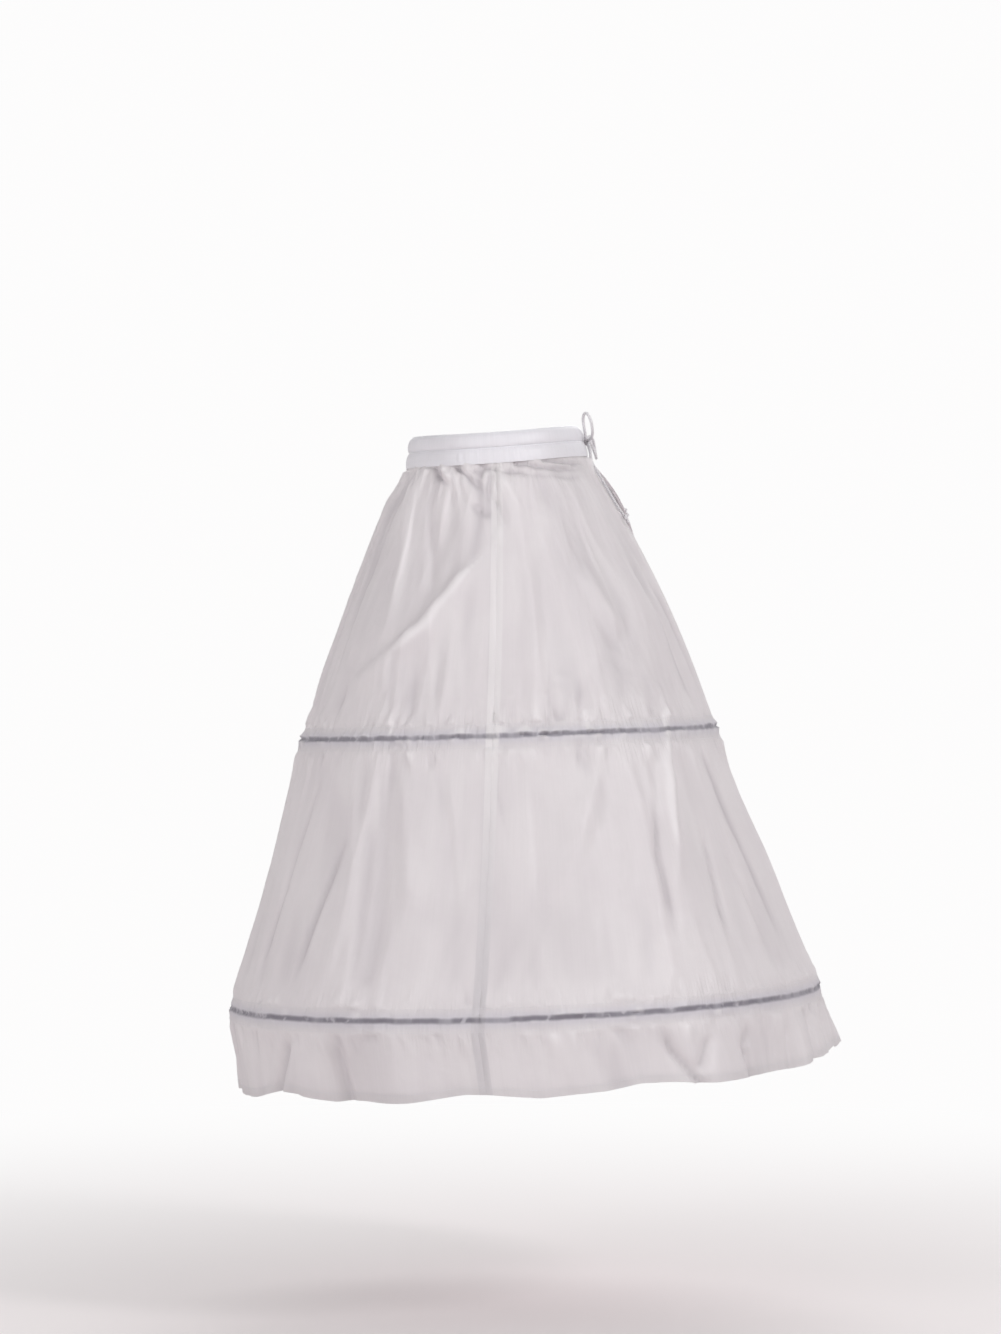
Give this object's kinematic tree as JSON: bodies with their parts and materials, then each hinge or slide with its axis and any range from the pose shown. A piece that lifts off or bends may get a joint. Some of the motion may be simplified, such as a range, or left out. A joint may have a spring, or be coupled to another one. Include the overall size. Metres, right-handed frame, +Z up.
{
  "type": "hoop petticoat",
  "caption": "White taffeta crinoline petticoat: gathered panels under a drawstring waistband, held in an A-line by sprung hoops in casings, with a plain flounce at the hem.",
  "frame": {"origin": "middle of the waist, in the plane of the stitch row half way up the waistband", "axes": "+Z up along the wearer, -Y towards the front of the garment, +X towards the wearer's left"},
  "size_m": [0.723, 0.7325, 0.8131],
  "materials": {
    "taffeta": "thin white taffeta, slightly translucent, soft sheen",
    "tape": "white cotton tape",
    "elastic": "woven white elastic",
    "cord": "braided white cord",
    "spring_steel": "spring steel strip in a grey-white coating",
    "sleeve": "clear-white plastic tube"
  },
  "bodies": {
    "root": {"waistband": "taffeta", "waist_elastic": "elastic", "drawstring": "cord", "bow_knot": "cord", "left_bow_loop": "cord", "right_bow_loop": "cord", "left_tail": "cord", "right_tail": "cord", "left_tail_knot": "cord", "right_tail_knot": "cord", "front_panel": "taffeta", "left_back_panel": "taffeta", "right_back_panel": "taffeta", "upper_casing": "tape", "upper_hoop": "spring_steel", "upper_hoop_sleeve": "sleeve", "lower_casing": "tape", "lower_hoop": "spring_steel", "lower_hoop_sleeve": "sleeve"}
  },
  "joints": []
}
